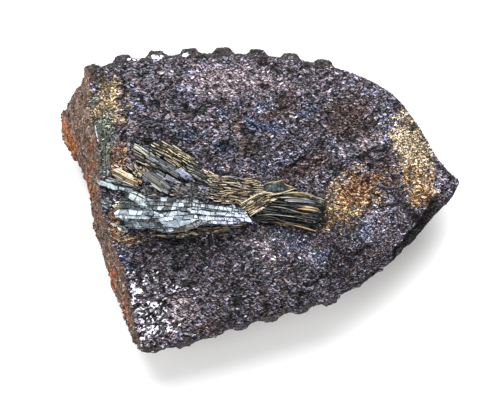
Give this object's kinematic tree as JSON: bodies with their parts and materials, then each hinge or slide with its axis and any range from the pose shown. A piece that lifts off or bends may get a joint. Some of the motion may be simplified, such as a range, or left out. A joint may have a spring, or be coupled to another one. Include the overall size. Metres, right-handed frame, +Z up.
{
  "type": "vivianite specimen",
  "caption": "Mineral specimen: bladed crystal sheaves on a dark granular crust that fills a broken fossil shell with a ribbed rounded back.",
  "frame": {"origin": "centre of the footprint at the height of the surface that the specimen lies on", "axes": "+X towards the beak of the shell, +Z up through the crystals"},
  "size_m": [0.0598, 0.046, 0.0157],
  "materials": {
    "ironstone": "dark purple-grey granular crust with glints, brown ironstone where broken",
    "straw_crystal": "fibrous straw and grey laths with a silky shine",
    "grey_crystal": "grey striated lath, vitreous to dull",
    "golden_crystal": "golden-orange altered laths",
    "silver_crystal": "pearly silver-blue cleavage faces with black cracks",
    "pale_crystal": "pale blue-green pearly lath",
    "brown_crystal": "fine straw-brown laths with dark gaps",
    "dark_crystal": "near-black green laths with bright glassy edges",
    "green_crystal": "grey-green fibrous laths"
  },
  "bodies": {
    "root": {"matrix": "ironstone", "straw_fan": "straw_crystal", "grey_blade": "grey_crystal", "golden_blade": "golden_crystal", "silver_band": "silver_crystal", "pale_sliver": "pale_crystal", "brown_sheaf": "brown_crystal", "right_sheaf": "dark_crystal", "edge_blades": "green_crystal"}
  },
  "joints": []
}
